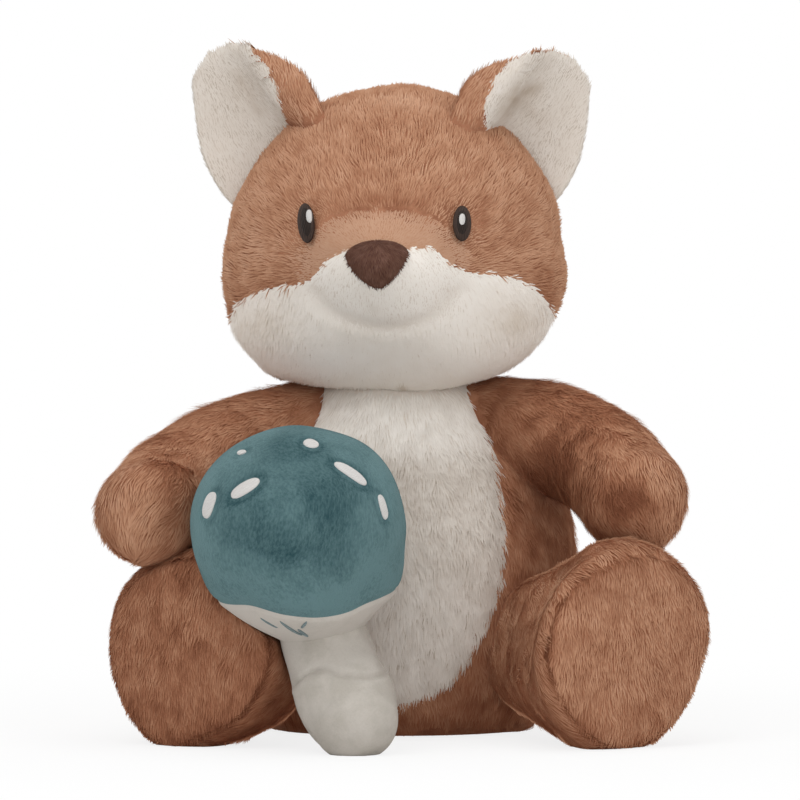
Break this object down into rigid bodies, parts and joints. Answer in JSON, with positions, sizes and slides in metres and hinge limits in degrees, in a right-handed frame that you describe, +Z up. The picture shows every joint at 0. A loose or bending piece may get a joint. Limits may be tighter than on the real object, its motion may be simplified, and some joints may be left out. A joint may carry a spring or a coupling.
{
  "type": "plush fox",
  "caption": "Seated plush fox with cream face and belly, holding a teal toadstool in its right paw; soft limbs, head, ears and tail swing at their seams.",
  "frame": {"origin": "centre of the flat seat on the floor", "axes": "+Z up, the fox faces -Y, its own left is +X"},
  "size_m": [0.1897, 0.2373, 0.2209],
  "materials": {
    "brown_plush": "medium-pile brown plush",
    "cream_plush": "long-pile cream plush",
    "cream_velour": "short-pile cream velour",
    "dark_thread": "satin embroidery thread",
    "fibre_fill": "loose polyester fibre",
    "grey_thread": "grey-green embroidery thread",
    "nose_velour": "short-pile dark brown velour",
    "pellet_bag": "woven bag of plastic pellets",
    "tan_plush": "short-pile tan plush",
    "teal_velour": "short-pile teal velour",
    "white_thread": "white embroidery thread"
  },
  "bodies": {
    "torso": {"torso_cover": "brown_plush", "belly_panel": "cream_plush", "seat_panel": "brown_plush", "torso_stuffing": "fibre_fill", "seat_pellets": "pellet_bag"},
    "head": {"head_cover": "brown_plush", "face_panel": "cream_plush", "snout_top": "tan_plush", "head_stuffing": "fibre_fill", "nose": "nose_velour", "eye_left": "dark_thread", "eye_right": "dark_thread", "glint_left": "white_thread", "glint_right": "white_thread"},
    "ear_left": {"ear_left_back": "brown_plush", "ear_left_lining": "cream_plush"},
    "ear_right": {"ear_right_back": "brown_plush", "ear_right_lining": "cream_plush"},
    "arm_left": {"arm_left_cover": "brown_plush", "arm_left_stuffing": "fibre_fill"},
    "arm_right": {"arm_right_cover": "brown_plush", "arm_right_stuffing": "fibre_fill"},
    "leg_left": {"leg_left_cover": "brown_plush", "leg_left_stuffing": "fibre_fill", "sole_left": "brown_plush"},
    "leg_right": {"leg_right_cover": "brown_plush", "leg_right_stuffing": "fibre_fill", "sole_right": "brown_plush"},
    "tail": {"tail_cover": "brown_plush", "tail_stuffing": "fibre_fill", "tail_tip": "cream_plush"},
    "toadstool": {"cap_stuffing": "fibre_fill", "gill_left": "grey_thread", "gill_middle": "grey_thread", "gill_right": "grey_thread", "spot_back": "white_thread", "spot_back_left": "white_thread", "spot_back_right": "white_thread", "spot_crown": "white_thread", "spot_front_high": "white_thread", "spot_front_left": "white_thread", "spot_left_high": "white_thread", "spot_right": "white_thread", "spot_right_high": "white_thread", "stem_stuffing": "fibre_fill", "toadstool_cap": "teal_velour", "toadstool_stem": "cream_velour", "toadstool_underside": "cream_velour"}
  },
  "joints": [
    {"name": "head_turn", "type": "hinge", "parent": "torso", "child": "head", "pos_m": [0, 0, 0.1085], "axis": [0, 0, 1], "range_deg": [-20, 20], "stiffness_Nm_per_rad": 0.05},
    {"name": "ear_left_fold", "type": "hinge", "parent": "head", "child": "ear_left", "pos_m": [0.03786, -0.00331, 0.181], "axis": [0.8032, 0.4911, -0.3372], "range_deg": [0, 15], "stiffness_Nm_per_rad": 0.02, "springref_deg": -2.86},
    {"name": "ear_right_fold", "type": "hinge", "parent": "head", "child": "ear_right", "pos_m": [-0.03786, 0.00331, 0.181], "axis": [0.7959, -0.4779, 0.3716], "range_deg": [0, 15], "stiffness_Nm_per_rad": 0.02, "springref_deg": -2.86},
    {"name": "arm_left_lift", "type": "hinge", "parent": "torso", "child": "arm_left", "pos_m": [0.029, -0.004, 0.095], "axis": [-0.7033, -0.7109, 0], "range_deg": [0, 20], "stiffness_Nm_per_rad": 0.02},
    {"name": "arm_right_lift", "type": "hinge", "parent": "torso", "child": "arm_right", "pos_m": [-0.029, -0.004, 0.095], "axis": [-0.7883, 0.6153, 0], "range_deg": [0, 20], "stiffness_Nm_per_rad": 0.02},
    {"name": "leg_left_spread", "type": "hinge", "parent": "torso", "child": "leg_left", "pos_m": [0.038, -0.016, 0.0275], "axis": [0, 0, 1], "range_deg": [0, 12], "stiffness_Nm_per_rad": 0.05},
    {"name": "leg_right_spread", "type": "hinge", "parent": "torso", "child": "leg_right", "pos_m": [-0.038, -0.016, 0.0275], "axis": [0, 0, -1], "range_deg": [0, 12], "stiffness_Nm_per_rad": 0.05},
    {"name": "tail_swing", "type": "hinge", "parent": "torso", "child": "tail", "pos_m": [0, 0.042, 0.024], "axis": [0, 0, 1], "range_deg": [-12, 12], "stiffness_Nm_per_rad": 0.02},
    {"name": "toadstool_swing", "type": "hinge", "parent": "arm_right", "child": "toadstool", "pos_m": [-0.06066, -0.07552, 0.07342], "axis": [-0.5225, -0.8526, 0], "range_deg": [0, 12], "stiffness_Nm_per_rad": 0.01}
  ]
}
